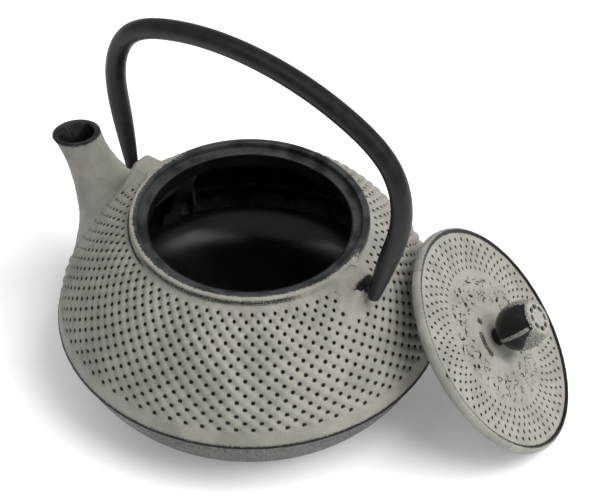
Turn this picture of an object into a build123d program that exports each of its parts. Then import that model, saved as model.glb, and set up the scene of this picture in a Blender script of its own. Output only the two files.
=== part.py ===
"""Cast-iron teapot with a swinging bail and a lid that leans against its shoulder.

Millimetres, +Z up. The origin is the centre of the foot ring on the table.
X runs through the spout and both lugs, and the spout points towards -X.
"""

from build123d import *
from math import cos, radians, sin
import os

# Pot, heights above the table
RIM_Z = 79.2  # top of the lip
LIP_R = 47.5  # outside of the lip
STEP_R = 44.5  # wall of the shallow step inside the lip
STEP_DEPTH = 2.6  # from the lip down to the ledge
MOUTH_R = 40.6  # clear opening inside the ledge
NECK_H = 5.4  # straight part of the neck below the ledge
COLLAR_H = 3.6  # plain band under the lip
GROOVE = 0.5  # groove at the band's foot
RIDGE_R = 77.9  # seam where the two halves of the mould met
RIDGE_Z = 28.7
RIDGE_HALF_H = 0.9
WALL_STATIONS = 16
FLOOR_Z = 5.2  # inside of the floor
FOOT_R = 55.5
FOOT_RING_W = 5.0
FOOT_RECESS = 1.6
ENAMEL_T = 0.4

# Spout, a curved cone in the plane of the lugs
SPOUT_ROOT = (-59.3, 37.5)
SPOUT_BEND_LOW = (-75.5, 45.6)
SPOUT_BEND_HIGH = (-85.2, 63.1)
SPOUT_TIP = (-91.4, 74.2)
SPOUT_ROOT_R = 24.0
SPOUT_WAIST_R = 5.8
SPOUT_TIP_R = 9.7
SPOUT_WALL_ROOT = 6.0
SPOUT_WALL_TIP = 1.7
SPOUT_LIP_TILT = 10.0  # degrees that the mouth leans outwards
SPOUT_STATIONS = 8
SPOUT_OVERRUN = 6.0  # past the mouth, cut off square to the lip

# Lugs and bail
PIVOT_X = 61.7
PIVOT_Z = 74.5
LUG_FACE_X = 58.0
LUG_INNER_X = 46.0
LUG_TOP_Z = 78.6
LUG_TOP_W = 9.0
LUG_ROOT_Z = 65.2
LUG_ROOT_W = 24.0
LUG_ROUND = 2.0
BAIL_R = 4.15
BAIL_TIP_R = 2.5
BAIL_TAPER = 0.12  # share of the bail's length that each tapered end takes
BAIL_TIP_DROP = 2.6  # blunt end below the pivot
BAIL_TIP_ROUND = 1.4
BAIL_HALF_W = 70.6  # widest point
BAIL_WIDE_H = 42.0  # of the widest point above the pivot
BAIL_H = 80.1  # middle of the grip above the pivot
BAIL_LEAN = 3.7  # degrees that the bail leans back towards +Y
PIN_R = 1.6
PIN_GRIP = 0.02  # by which each pin is larger than its hole in the bail
PIN_RUNNING = 0.05  # radial clearance of the pin in its lug
PIN_DEPTH = 5.5  # into the lug
PIN_END_GAP = 0.6
PIN_IN_BAIL = 1.3  # past the middle of the bail's end

# Lid, drawn in its own frame: distance from its axis, and height over its face
LID_TILT = 41.4  # elevation of the lid's outward axis
LID_TURN = 28.0  # direction in which that axis points
LID_X = 92.8
LID_Y = 40.8
LID_Z = 38.4
LID_R = 48.0
LID_FACE_R = 46.4  # inside of the rolled edge
LID_SINK = 0.7  # of the face below the rolled edge
LID_EDGE_T = 4.6
LID_FACE_T = 4.2  # underside of the face, below the rolled edge
LID_STEP_R = 44.0
LID_STEP_T = 1.3
FLANGE_R = 39.8
FLANGE_T = 3.0
FLANGE_H = 4.0  # below the underside of the lid's rim
BOSS_R = 15.5
BOSS_CREST_R = 11.2
BOSS_CREST_H = 0.7
BOSS_DISH_R = 7.8
BOSS_DISH_H = 0.0

# Knob, loosely pinned through the lid
KNOB_GAP = 0.3  # under the knob's foot and over the washer
KNOB_H = 20.9
KNOB_NECK_R = 3.6
KNOB_NECK_H = 2.5
KNOB_LOW_R = 7.5
KNOB_LOW_H = 5.5
KNOB_R = 9.8
KNOB_WIDE_H = 11.8
KNOB_SHOULDER_R = 8.4
KNOB_SHOULDER_H = 19.4
KNOB_TOP_R = 7.4
KNOB_CROWN = 0.3
KNOB_FLOOR = 5.5
KNOB_HOLLOW_R = 5.8
KNOB_CAP_T = 1.8
SLOTS = 8
SLOT_RING_R = 4.6
SLOT_L = 3.0
SLOT_W = 1.9
KNOB_PIN_R = 2.0
KNOB_PIN_DEPTH = 3.6
WASHER_R = 5.5
WASHER_T = 1.0
PIN_HEAD_R = 3.4
PIN_HEAD_T = 1.4

os.makedirs("parts", exist_ok=True)

spout_line = Bezier(
    (SPOUT_ROOT[0], 0, SPOUT_ROOT[1]),
    (SPOUT_BEND_LOW[0], 0, SPOUT_BEND_LOW[1]),
    (SPOUT_BEND_HIGH[0], 0, SPOUT_BEND_HIGH[1]),
    (SPOUT_TIP[0], 0, SPOUT_TIP[1]),
)
spout_lip = Plane(
    origin=(SPOUT_TIP[0], 0, SPOUT_TIP[1]),
    x_dir=(0, 1, 0),
    z_dir=(-sin(radians(SPOUT_LIP_TILT)), 0, cos(radians(SPOUT_LIP_TILT))),
)


def spout_station(t):
    """A plane square to the spout's centre line and the outside radius there."""
    square = Plane(origin=spout_line @ t, x_dir=(0, 1, 0), z_dir=spout_line % t)
    radius = SPOUT_ROOT_R * (1 - t) ** 2 + 2 * SPOUT_WAIST_R * t * (1 - t) + SPOUT_TIP_R * t**2
    return square, radius


def spout_cone(thinner_root, thinner_tip):
    """The spout's outside, or its bore when it is made thinner by the wall."""
    with BuildPart() as cone:
        for station in range(SPOUT_STATIONS + 1):
            t = station / SPOUT_STATIONS
            square, radius = spout_station(t)
            with BuildSketch(square):
                Circle(radius - thinner_root * (1 - t) - thinner_tip * t)
        with BuildSketch(square.offset(SPOUT_OVERRUN)):
            Circle(radius - thinner_tip)
        loft()
    return cone.part


wall_line = Spline(
    (MOUTH_R, RIM_Z - STEP_DEPTH - NECK_H),
    (52.0, 64.6),
    (64.3, 50.8),
    (71.2, 36.7),
    (72.6, 28.6),
    (69.4, 20.4),
    (63.2, 13.8),
    (55.0, 9.0),
    (46.0, 6.2),
    (37.0, FLOOR_Z),
)


def pot_room(coat):
    """The room inside the pot and its spout, drawn in by a coat of this thickness."""
    shares = [step / WALL_STATIONS for step in range(WALL_STATIONS + 1)]
    inward = [(wall_line % share).rotate(Axis.Z, -90) for share in shares]
    with BuildPart() as room:
        with BuildSketch(Plane.XZ):
            with BuildLine():
                wall = Spline(*[wall_line @ a + b * coat for a, b in zip(shares, inward)])
                Polyline(
                    wall @ 1,
                    (0, FLOOR_Z + coat),
                    (0, RIM_Z + STEP_DEPTH),
                    (MOUTH_R - coat, RIM_Z + STEP_DEPTH),
                    wall @ 0,
                )
            make_face()
        revolve(axis=Axis.Z)
        add(spout_cone(SPOUT_WALL_ROOT + coat, SPOUT_WALL_TIP + coat))
    return room.part


# Pot: body, spout and lugs are one casting
with BuildPart() as spout:
    add(spout_cone(0, 0))
    with BuildSketch(spout_lip):
        Circle(2 * SPOUT_TIP_R)
    extrude(amount=2 * SPOUT_OVERRUN, mode=Mode.SUBTRACT)
    with BuildSketch(Plane.XY.offset(RIDGE_Z)):
        Rectangle(4 * RIDGE_R, 2 * RIDGE_R)
    extrude(amount=-RIDGE_R, mode=Mode.SUBTRACT)

with BuildPart() as lugs:
    for side in (1, -1):
        with BuildSketch(Plane.YZ.offset(side * LUG_FACE_X)) as lug_outline:
            with BuildLine():
                Polyline(
                    (-LUG_ROOT_W / 2, LUG_ROOT_Z),
                    (LUG_ROOT_W / 2, LUG_ROOT_Z),
                    (LUG_TOP_W / 2, LUG_TOP_Z),
                    (-LUG_TOP_W / 2, LUG_TOP_Z),
                    close=True,
                )
            make_face()
            fillet(lug_outline.vertices().group_by(Axis.Y)[-1], LUG_ROUND)
        extrude(amount=-side * (LUG_FACE_X - LUG_INNER_X))

with BuildPart() as pot:
    with BuildSketch(Plane.XZ):
        with BuildLine():
            collar = Polyline(
                (0, RIM_Z),
                (LIP_R - 0.6, RIM_Z),
                (LIP_R, RIM_Z - 0.6),
                (LIP_R, RIM_Z - COLLAR_H),
                (LIP_R + GROOVE, RIM_Z - COLLAR_H - GROOVE),
            )
            shoulder = Spline(
                collar @ 1,
                (54.7, 71.0),
                (60.4, 65.3),
                (69.5, 52.3),
                (75.4, 39.8),
                (RIDGE_R - 0.4, RIDGE_Z + RIDGE_HALF_H),
            )
            ridge = Polyline(
                shoulder @ 1,
                (RIDGE_R, RIDGE_Z + 0.3),
                (RIDGE_R, RIDGE_Z - 0.3),
                (RIDGE_R - 1.2, RIDGE_Z - RIDGE_HALF_H),
            )
            under = Spline(
                ridge @ 1,
                (75.4, 24.2),
                (71.5, 16.3),
                (65.5, 8.1),
                (FOOT_R + 2.0, 1.4),
            )
            Polyline(
                under @ 1,
                (FOOT_R, 0),
                (FOOT_R - FOOT_RING_W, 0),
                (FOOT_R - FOOT_RING_W - FOOT_RECESS, FOOT_RECESS),
                (0, FOOT_RECESS),
                (0, RIM_Z),
            )
        make_face()
    revolve(axis=Axis.Z)
    add(spout.part)
    add(lugs.part)
    add(pot_room(0), mode=Mode.SUBTRACT)
    with BuildSketch(Plane.XY.offset(RIM_Z - STEP_DEPTH)):
        Circle(STEP_R)
    extrude(amount=2 * STEP_DEPTH, mode=Mode.SUBTRACT)
    for side in (1, -1):
        with BuildSketch(Plane.YZ.offset(side * LUG_FACE_X)):
            with Locations((0, PIVOT_Z)):
                Circle(PIN_R + PIN_RUNNING)
        extrude(amount=-side * (PIN_DEPTH + PIN_END_GAP), mode=Mode.SUBTRACT)

pot.part.label = "pot"
export_step(pot.part, "parts/pot.step")

# Enamel coat on the inside of the pot and the spout
with BuildPart() as enamel_lining:
    add(pot_room(0))
    add(pot_room(ENAMEL_T), mode=Mode.SUBTRACT)
    with BuildSketch(Plane.XY.offset(RIM_Z - STEP_DEPTH)):
        Circle(2 * MOUTH_R)
    extrude(amount=RIDGE_R, mode=Mode.SUBTRACT)
    with BuildSketch(spout_lip):
        Circle(2 * SPOUT_TIP_R)
    extrude(amount=2 * SPOUT_OVERRUN, mode=Mode.SUBTRACT)

enamel_lining.part.label = "enamel_lining"
export_step(enamel_lining.part, "parts/enamel_lining.step")

# Bail: a bar with tapered blunt ends, leaning back a little
bail_plane = Plane(
    origin=(0, 0, PIVOT_Z),
    x_dir=(1, 0, 0),
    z_dir=(0, -cos(radians(BAIL_LEAN)), sin(radians(BAIL_LEAN))),
)
bail_side = [
    (PIVOT_X - 0.5, -BAIL_TIP_DROP),
    (66.8, 20.0),
    (BAIL_HALF_W, BAIL_WIDE_H),
    (64.6, 60.3),
    (44.0, 73.0),
]
with BuildLine(bail_plane) as bail_path:
    Spline(*bail_side, (0, BAIL_H), *[(-x, y) for x, y in reversed(bail_side)])
bail_line = bail_path.edges()[0]

with BuildPart() as handle:
    with BuildLine():
        add(bail_line.trim(BAIL_TAPER, 1 - BAIL_TAPER))
    with BuildSketch(Plane(origin=bail_line @ BAIL_TAPER, z_dir=bail_line % BAIL_TAPER)):
        Circle(BAIL_R)
    sweep()
    for end, way in ((0, 1), (1, -1)):
        for share in (0, 0.35, 0.7, 1):
            at = end + way * share * BAIL_TAPER
            with BuildSketch(Plane(origin=bail_line @ at, z_dir=bail_line % at)):
                Circle(BAIL_TIP_R + (BAIL_R - BAIL_TIP_R) * sin(radians(90 * share)))
        loft()
    fillet(handle.edges().group_by(Axis.Z)[0], BAIL_TIP_ROUND)
    for side in (1, -1):
        with BuildSketch(Plane.YZ.offset(side * (PIVOT_X + PIN_IN_BAIL))):
            with Locations((0, PIVOT_Z)):
                Circle(PIN_R - PIN_GRIP)
        extrude(amount=-side * 2 * BAIL_TIP_R, mode=Mode.SUBTRACT)

handle.part.label = "handle"
export_step(handle.part, "parts/handle.step")

# Pins that stand in the bail's ends and turn in the lugs
for name, side in (("handle_pin_front", 1), ("handle_pin_spout", -1)):
    with BuildPart() as handle_pin:
        with BuildSketch(Plane.YZ.offset(side * (PIVOT_X + PIN_IN_BAIL))):
            with Locations((0, PIVOT_Z)):
                Circle(PIN_R)
        extrude(amount=-side * (PIVOT_X + PIN_IN_BAIL - LUG_FACE_X + PIN_DEPTH))
    handle_pin.part.label = name
    export_step(handle_pin.part, "parts/" + name + ".step")

# Lid: a disc with a rolled edge, a step and a flange that drop into the mouth
lid_face = Plane(
    origin=(LID_X, LID_Y, LID_Z),
    x_dir=(-sin(radians(LID_TURN)), cos(radians(LID_TURN)), 0),
    z_dir=(
        cos(radians(LID_TILT)) * cos(radians(LID_TURN)),
        cos(radians(LID_TILT)) * sin(radians(LID_TURN)),
        sin(radians(LID_TILT)),
    ),
)
lid_section = Plane(
    origin=lid_face.origin,
    x_dir=lid_face.x_dir,
    z_dir=lid_face.x_dir.cross(lid_face.z_dir),
)
lid_axis = Axis(lid_face.origin, lid_face.z_dir)
knob_base = BOSS_DISH_H + KNOB_GAP

with BuildPart() as lid:
    with BuildSketch(lid_section):
        with BuildLine():
            dish = Line((0, BOSS_DISH_H), (BOSS_DISH_R, BOSS_DISH_H))
            boss = Spline(
                dish @ 1,
                (BOSS_CREST_R, BOSS_CREST_H),
                (BOSS_R, -LID_SINK),
                tangents=((1, 0.2), (1, -0.1)),
            )
            edge = Polyline(
                boss @ 1,
                (LID_FACE_R - 0.5, -LID_SINK),
                (LID_FACE_R, -0.1),
            )
            roll = Spline(edge @ 1, (LID_R, -1.9), tangents=((1, 0.3), (0, -1)))
            Polyline(
                roll @ 1,
                (LID_R, -3.4),
                (LID_R - 1.0, -LID_EDGE_T),
                (LID_STEP_R, -LID_EDGE_T),
                (LID_STEP_R, -LID_EDGE_T - LID_STEP_T),
                (FLANGE_R, -LID_EDGE_T - LID_STEP_T),
                (FLANGE_R, -LID_EDGE_T - FLANGE_H),
                (FLANGE_R - FLANGE_T, -LID_EDGE_T - FLANGE_H),
                (FLANGE_R - FLANGE_T - 1, -LID_FACE_T),
                (0, -LID_FACE_T),
                (0, BOSS_DISH_H),
            )
        make_face()
    revolve(axis=lid_axis)
    with BuildSketch(lid_face.offset(BOSS_CREST_H)):
        Circle(KNOB_PIN_R + PIN_RUNNING)
    extrude(amount=-2 * FLANGE_H, mode=Mode.SUBTRACT)

lid.part.label = "lid"
export_step(lid.part, "parts/lid.step")


# Knob: a hollow barrel with slots in its top
with BuildPart() as knob:
    with BuildSketch(lid_section):
        with BuildLine():
            neck = Polyline(
                (0, knob_base),
                (KNOB_NECK_R, knob_base),
                (KNOB_NECK_R, KNOB_NECK_H),
            )
            barrel = Spline(
                neck @ 1,
                (KNOB_LOW_R, KNOB_LOW_H),
                (KNOB_R, KNOB_WIDE_H),
                (KNOB_SHOULDER_R, KNOB_SHOULDER_H),
                (KNOB_TOP_R, KNOB_H),
            )
            Polyline(barrel @ 1, (0, KNOB_H + KNOB_CROWN), (0, knob_base))
        make_face()
    revolve(axis=lid_axis)
    with BuildSketch(lid_face.offset(knob_base + KNOB_FLOOR)):
        Circle(KNOB_HOLLOW_R)
    extrude(amount=KNOB_H - KNOB_CAP_T - knob_base - KNOB_FLOOR, mode=Mode.SUBTRACT)
    with BuildSketch(lid_face.offset(KNOB_H + 1)):
        with PolarLocations(SLOT_RING_R, SLOTS):
            SlotOverall(SLOT_L, SLOT_W, rotation=90)
    extrude(amount=-KNOB_CAP_T - 2, mode=Mode.SUBTRACT)
    with BuildSketch(lid_face.offset(knob_base)):
        Circle(KNOB_PIN_R - PIN_GRIP)
    extrude(amount=KNOB_PIN_DEPTH, mode=Mode.SUBTRACT)

knob.part.label = "knob"
export_step(knob.part, "parts/knob.step")

# Pin through the lid, with its head peened over a washer on the inside
under_lid = -LID_FACE_T - KNOB_GAP
with BuildPart() as knob_pin:
    with BuildSketch(lid_section):
        with BuildLine():
            head = Polyline(
                (0, knob_base + KNOB_PIN_DEPTH),
                (KNOB_PIN_R, knob_base + KNOB_PIN_DEPTH),
                (KNOB_PIN_R, under_lid - WASHER_T),
                (PIN_HEAD_R, under_lid - WASHER_T),
            )
            dome = Spline(
                head @ 1,
                (0, under_lid - WASHER_T - PIN_HEAD_T),
                tangents=((0, -1), (-1, 0)),
            )
            Line(dome @ 1, head @ 0)
        make_face()
    revolve(axis=lid_axis)

knob_pin.part.label = "knob_pin"
export_step(knob_pin.part, "parts/knob_pin.step")

with BuildPart() as knob_washer:
    with BuildSketch(lid_face.offset(under_lid)):
        Circle(WASHER_R)
        Circle(KNOB_PIN_R - PIN_GRIP, mode=Mode.SUBTRACT)
    extrude(amount=-WASHER_T)

knob_washer.part.label = "knob_washer"
export_step(knob_washer.part, "parts/knob_washer.step")
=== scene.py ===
# %% [markdown]
# # A cast-iron teapot with its lid leaning against it
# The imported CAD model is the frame: it says where every part is and how big it is.
# This lesson builds the parts that are looked at, the studded casting, the black enamel
# inside it, the lid, its knob and the bail, around that frame, in the same place.
# The small steel parts of the CAD model stay as they are and only get a finish.

# %% Load the frame
from math import cos, pi, radians, sin

import bmesh
import bpy
import numpy as np
from mathutils import Matrix, Vector, noise


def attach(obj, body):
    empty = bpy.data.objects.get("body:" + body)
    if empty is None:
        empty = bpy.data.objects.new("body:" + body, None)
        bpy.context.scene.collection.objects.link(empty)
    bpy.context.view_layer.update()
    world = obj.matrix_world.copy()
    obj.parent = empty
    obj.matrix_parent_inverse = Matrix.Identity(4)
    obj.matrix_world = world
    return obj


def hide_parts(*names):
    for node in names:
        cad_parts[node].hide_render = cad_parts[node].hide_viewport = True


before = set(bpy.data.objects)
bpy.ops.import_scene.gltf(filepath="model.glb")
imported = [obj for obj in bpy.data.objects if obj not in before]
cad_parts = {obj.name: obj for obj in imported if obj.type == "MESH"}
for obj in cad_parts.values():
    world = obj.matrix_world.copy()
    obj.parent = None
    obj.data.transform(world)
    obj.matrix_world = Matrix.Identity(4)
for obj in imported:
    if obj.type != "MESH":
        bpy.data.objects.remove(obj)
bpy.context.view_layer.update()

MM = 0.001  # one millimetre in Blender's metres

# %% [markdown]
# ## Curves and sheets of points
# The real pot is turned on a wheel as a sand mould, so its shape is one outline swept
# round the upright axis. The outline is a smooth curve through a few measured places.
# A cubic spline gives that curve, and it is sampled evenly so that the rows of the mesh
# come at an even distance, which the studs need.

# %% Smooth curves and straight runs
def curve_through(places, spacing):
    """Evenly spaced points on a smooth curve through the given ones."""
    knots = np.array(places, float)
    gap = np.linalg.norm(np.diff(knots, axis=0), axis=1)
    along = np.concatenate([[0.0], np.cumsum(gap)])
    count = len(knots)
    system = np.eye(count)
    turn = np.zeros_like(knots)
    for i in range(1, count - 1):
        system[i, i - 1 : i + 2] = gap[i - 1], 2 * (gap[i - 1] + gap[i]), gap[i]
        turn[i] = 6 * ((knots[i + 1] - knots[i]) / gap[i] - (knots[i] - knots[i - 1]) / gap[i - 1])
    bend = np.linalg.solve(system, turn)
    at = np.linspace(0, along[-1], max(2, round(along[-1] / spacing) + 1))
    span = np.clip(np.searchsorted(along, at, side="right") - 1, 0, count - 2)
    wide = gap[span][:, None]
    done = (at - along[span])[:, None]
    left = wide - done
    cubic = (bend[span] * left**3 + bend[span + 1] * done**3) / (6 * wide)
    straight = (knots[span] / wide - bend[span] * wide / 6) * left
    return cubic + straight + (knots[span + 1] / wide - bend[span + 1] * wide / 6) * done


def straight_run(places, spacing):
    """Evenly spaced points on straight lines from each place to the next."""
    places = np.array(places, float)
    parts = []
    for start, end in zip(places, places[1:]):
        steps = max(1, round(np.linalg.norm(end - start) / spacing))
        parts.append(start + (end - start) * np.linspace(0, 1, steps + 1)[:-1, None])
    return np.concatenate(parts + [places[-1:]])


def joined(*runs):
    """Runs one after the other, with the shared places kept once."""
    path = [runs[0]]
    for run in runs[1:]:
        path.append(run[1:])
    return np.concatenate(path)


def eased(value, low, high):
    """0 below low, 1 above high, and a smooth step between them."""
    share = np.clip((value - low) / (high - low), 0, 1)
    return share * share * (3 - 2 * share)


# %% [markdown]
# ## Spinning an outline
# Spin copies the outline's vertices round an axis and joins each copy to the last.
# Numbers kept on the outline's vertices are copied with them. That is how each vertex
# of the finished shape still knows its row, how studded it is and how worn it is.

# %% Spin, place and finish
SURFACE = ("row", "studded", "worn", "bare_iron_and_shade", "marked")


def with_layers(bm):
    """The numbers that the finishes read, kept on every vertex."""
    for name in SURFACE:
        bm.verts.layers.float.new(name)
    bm.verts.layers.float_vector.new("place")


def spun(outline, columns, numbers=None):
    """A closed solid of revolution from an outline that starts and ends on the axis."""
    bm = bmesh.new()
    with_layers(bm)
    corners = [bm.verts.new((r, 0, z)) for r, z in outline]
    for name, values in (numbers or {}).items():
        layer = bm.verts.layers.float[name]
        for corner, value in zip(corners, values):
            corner[layer] = value
    edges = [bm.edges.new(pair) for pair in zip(corners, corners[1:])]
    bmesh.ops.spin(bm, geom=corners + edges, axis=(0, 0, 1), cent=(0, 0, 0),
                   angle=2 * pi, steps=columns, use_merge=True)
    bmesh.ops.remove_doubles(bm, verts=bm.verts, dist=1e-4)
    bmesh.ops.recalc_face_normals(bm, faces=bm.faces)
    return bm


def places_of(bm):
    """The vertices' positions as a table."""
    return np.array([v.co for v in bm.verts])


def read(bm, name):
    """One of the surface numbers, for every vertex."""
    layer = bm.verts.layers.float[name]
    return np.array([v[layer] for v in bm.verts])


def write(bm, name, values):
    """Sets one of the surface numbers on every vertex."""
    layer = bm.verts.layers.float[name]
    for vert, value in zip(bm.verts, values):
        vert[layer] = value


def move_out(bm, amount):
    """Moves every vertex along its own normal by its own amount."""
    bm.normal_update()
    for vert, step in zip(bm.verts, amount):
        vert.co += vert.normal * float(step)


def remember_place(bm):
    """Keeps the position in millimetres, before the piece is turned into place."""
    layer = bm.verts.layers.float_vector["place"]
    for vert in bm.verts:
        vert[layer] = vert.co


def piece(bm, name, body, replaced, matrix=Matrix.Identity(4), crease=40):
    """Makes the object, in metres, in its place, riding on its body."""
    bmesh.ops.transform(bm, matrix=Matrix.Scale(MM, 4) @ matrix, verts=bm.verts)
    mesh = bpy.data.meshes.new(name)
    bm.to_mesh(mesh)
    bm.free()
    mesh.polygons.foreach_set("use_smooth", [True] * len(mesh.polygons))
    mesh.set_sharp_from_angle(angle=radians(crease))
    made = bpy.data.objects.new(name, mesh)
    bpy.context.scene.collection.objects.link(made)
    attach(made, body)
    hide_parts(replaced)
    print(name, len(mesh.vertices), "vertices", len(mesh.polygons), "faces")
    return made


# %% [markdown]
# ## The outline of the pot
# From the middle of the floor the outline goes up the inside wall, over the ledge and the
# lip that the lid sits in, down the studded shoulder to the mould seam at the widest
# place, and in under the pot to the foot ring. The wall inside is hidden by the enamel,
# so it has few rows, and the shoulder has four rows to each ring of studs.

# %% Pot outline
RIM_Z = 79.2
LIP_R = 47.5
LEDGE_Z = 76.6
STEP_R = 44.5
MOUTH_R = 40.6
FLOOR_Z = 5.2
SEAM_R = 77.9
SEAM_Z = 28.7
FOOT_R = 55.5
STUD_ROW = 2.87  # from one ring of studs to the next, along the shoulder
FIRST_RING = 7.1  # from the lip's outer edge to the first ring
STUD_RINGS = 16  # after the first
POT_STUDS = 72  # in each ring
COLUMNS_PER_STUD = 8

room_wall = [(MOUTH_R, 71.2), (52.0, 64.6), (64.3, 50.8), (71.2, 36.7), (72.6, 28.6),
             (69.4, 20.4), (63.2, 13.8), (55.0, 9.0), (46.0, 6.2), (37.0, FLOOR_Z)]
inside = joined(
    straight_run([(0, FLOOR_Z), (37.0, FLOOR_Z)], 12),
    curve_through(room_wall[::-1], 9),
    straight_run([(MOUTH_R, 71.2), (MOUTH_R, LEDGE_Z - 0.3)], 3),
)
lip = joined(
    straight_run([(MOUTH_R, LEDGE_Z - 0.3), (MOUTH_R + 0.3, LEDGE_Z)], 0.3),
    straight_run([(MOUTH_R + 0.3, LEDGE_Z), (STEP_R - 0.2, LEDGE_Z)], 0.9),
    straight_run([(STEP_R - 0.2, LEDGE_Z), (STEP_R, LEDGE_Z + 0.2), (STEP_R, RIM_Z - 0.5),
                  (STEP_R + 0.15, RIM_Z - 0.15), (STEP_R + 0.5, RIM_Z)], 0.8),
    straight_run([(STEP_R + 0.5, RIM_Z), (LIP_R - 0.7, RIM_Z)], 0.8),
    curve_through([(LIP_R - 0.7, RIM_Z), (LIP_R - 0.2, RIM_Z - 0.2), (LIP_R, RIM_Z - 0.7)], 0.3),
)
shoulder = joined(
    straight_run([(LIP_R, RIM_Z - 0.7), (LIP_R, RIM_Z - 3.6), (LIP_R + 0.5, RIM_Z - 4.1)], 0.7),
    curve_through([(LIP_R + 0.5, RIM_Z - 4.1), (54.7, 71.0), (60.4, 65.3), (69.5, 52.3),
                   (75.4, 39.8), (SEAM_R - 0.4, SEAM_Z + 0.9)], STUD_ROW / 4),
)
under = joined(
    straight_run([(SEAM_R - 0.4, SEAM_Z + 0.9), (SEAM_R, SEAM_Z + 0.3),
                  (SEAM_R, SEAM_Z - 0.3), (SEAM_R - 1.2, SEAM_Z - 0.9)], 0.4),
    curve_through([(SEAM_R - 1.2, SEAM_Z - 0.9), (75.4, 24.2), (71.5, 16.3), (65.5, 8.1),
                   (FOOT_R + 2, 1.4)], 2.4),
    curve_through([(FOOT_R + 2, 1.4), (FOOT_R + 0.9, 0.3), (FOOT_R, 0)], 0.6),
    straight_run([(FOOT_R, 0), (50.5, 0), (48.9, 1.6), (0, 1.6)], 5),
)
pot_outline = joined(inside, lip, shoulder, under)
outer = joined(shoulder, under)
steps = np.linalg.norm(np.diff(pot_outline, axis=0), axis=1)
travelled = np.concatenate([[0.0], np.cumsum(steps)])
lip_start = travelled[len(inside) - 1]
edge_at = travelled[len(inside) + len(lip) - 2] - 0.9
fall = travelled - edge_at  # distance down the outside from the lip's edge
seam_fall = fall[np.argmax(pot_outline[:, 0])]
print(len(pot_outline), "rows; the seam is", round(float(seam_fall), 2), "mm down the shoulder")

# %% [markdown]
# ## Spout and lugs
# The spout and the two lugs were poured in one go with the body, so they flow into it
# with a soft fillet. Each is described by how far a point is from it. A smooth minimum
# of these distances is zero exactly on a skin that flows from one into the other, and
# the vertices near a join are moved out onto that skin.

# %% How far a point is from the body, the spout and the lugs
SPOUT_PATH = [(-59.3, 37.5), (-75.5, 45.6), (-85.2, 63.1), (-91.4, 74.2)]
SPOUT_RADII = (24.0, 5.8, 9.7)
SPOUT_WALL = (6.0, 1.7)
SPOUT_LEAN = radians(10)
SPOUT_FILLET = 9.0
LUG_FILLET = 5.0
LUG_OUT, LUG_IN = 58.0, 46.0
LUG_TOP, LUG_ROOT = 78.6, 65.2
LUG_TOP_HALF, LUG_ROOT_HALF = 4.5, 12.0


def spout_middle(share):
    """A point on the spout's centre line, from the body at 0 to the mouth at 1."""
    a, b, c, d = (np.array((x, 0.0, z)) for x, z in SPOUT_PATH)
    rest = 1 - share
    return a * rest**3 + 3 * b * share * rest**2 + 3 * c * share**2 * rest + d * share**3


def spout_heading(share):
    """The direction of the centre line there."""
    return spout_middle(share + 0.01) - spout_middle(share - 0.01)


def spout_radius(share, wall=0):
    """Outside radius there, or the bore's when the wall's thickness is taken off."""
    root, waist, tip = SPOUT_RADII
    rest = 1 - share
    full = root * rest**2 + 2 * waist * share * rest + tip * share**2
    return full - wall * (SPOUT_WALL[0] * rest + SPOUT_WALL[1] * share)


spout_shares = np.linspace(0, 1.12, 90)
spout_centres = np.array([spout_middle(s) for s in spout_shares])


def spout_distance(points, wall=0):
    """Signed distance from the spout, as a chain of balls along its centre line."""
    radii = spout_radius(spout_shares, wall)
    apart = np.linalg.norm(points[:, None] - spout_centres[None], axis=2)
    return (apart - radii).min(axis=1)


def body_distance(points):
    """Signed distance from the spun outside of the body."""
    flat = np.stack([np.hypot(points[:, 0], points[:, 1]), points[:, 2]], axis=1)
    start, run = outer[:-1], np.diff(outer, axis=0)
    back = flat[:, None] - start[None]
    share = np.clip((back * run).sum(2) / (run**2).sum(1), 0, 1)
    apart = np.linalg.norm(back - share[..., None] * run, axis=2)
    nearest = apart.argmin(axis=1)
    rows = np.arange(len(points))
    side = run[nearest, 0] * back[rows, nearest, 1] - run[nearest, 1] * back[rows, nearest, 0]
    return np.where(side > 0, 1, -1) * apart[rows, nearest]


def melted(a, b, soft):
    """Smooth minimum of two distances."""
    close = np.maximum(soft - np.abs(a - b), 0) / soft
    return np.minimum(a, b) - close**2 * soft / 4


def lug_distance(points):
    """Signed distance from the nearer lug, a slab with sloping sides."""
    x, y, z = np.abs(points[:, 0]), np.abs(points[:, 1]), points[:, 2]
    drop, spread = LUG_TOP - LUG_ROOT, LUG_ROOT_HALF - LUG_TOP_HALF
    slope = np.hypot(drop, spread)
    flank = ((y - LUG_TOP_HALF) * drop + (z - LUG_TOP) * spread) / slope
    thick = np.abs(x - (LUG_OUT + LUG_IN) / 2) - (LUG_OUT - LUG_IN) / 2
    return -melted(-melted_out(flank, z - LUG_TOP), -thick, 2.0)


def melted_out(a, b):
    """Smooth maximum of two distances, which rounds an outer corner."""
    return -melted(-a, -b, 4.0)


def iron_skin(points):
    """Zero on the skin of the whole casting."""
    whole = melted(body_distance(points), spout_distance(points), SPOUT_FILLET)
    return melted(whole, lug_distance(points), LUG_FILLET)


def reach_skin(points, ways, least, most):
    """How far along its own way each point goes to meet the skin."""
    low, high = np.full(len(points), least), np.full(len(points), most)
    for _ in range(12):
        middle = (low + high) / 2
        within = iron_skin(points + ways * middle[:, None]) < 0
        low, high = np.where(within, middle, low), np.where(within, high, middle)
    return high


print("spout leaves the body at", SPOUT_PATH[0], "and opens at", SPOUT_PATH[-1])
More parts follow.
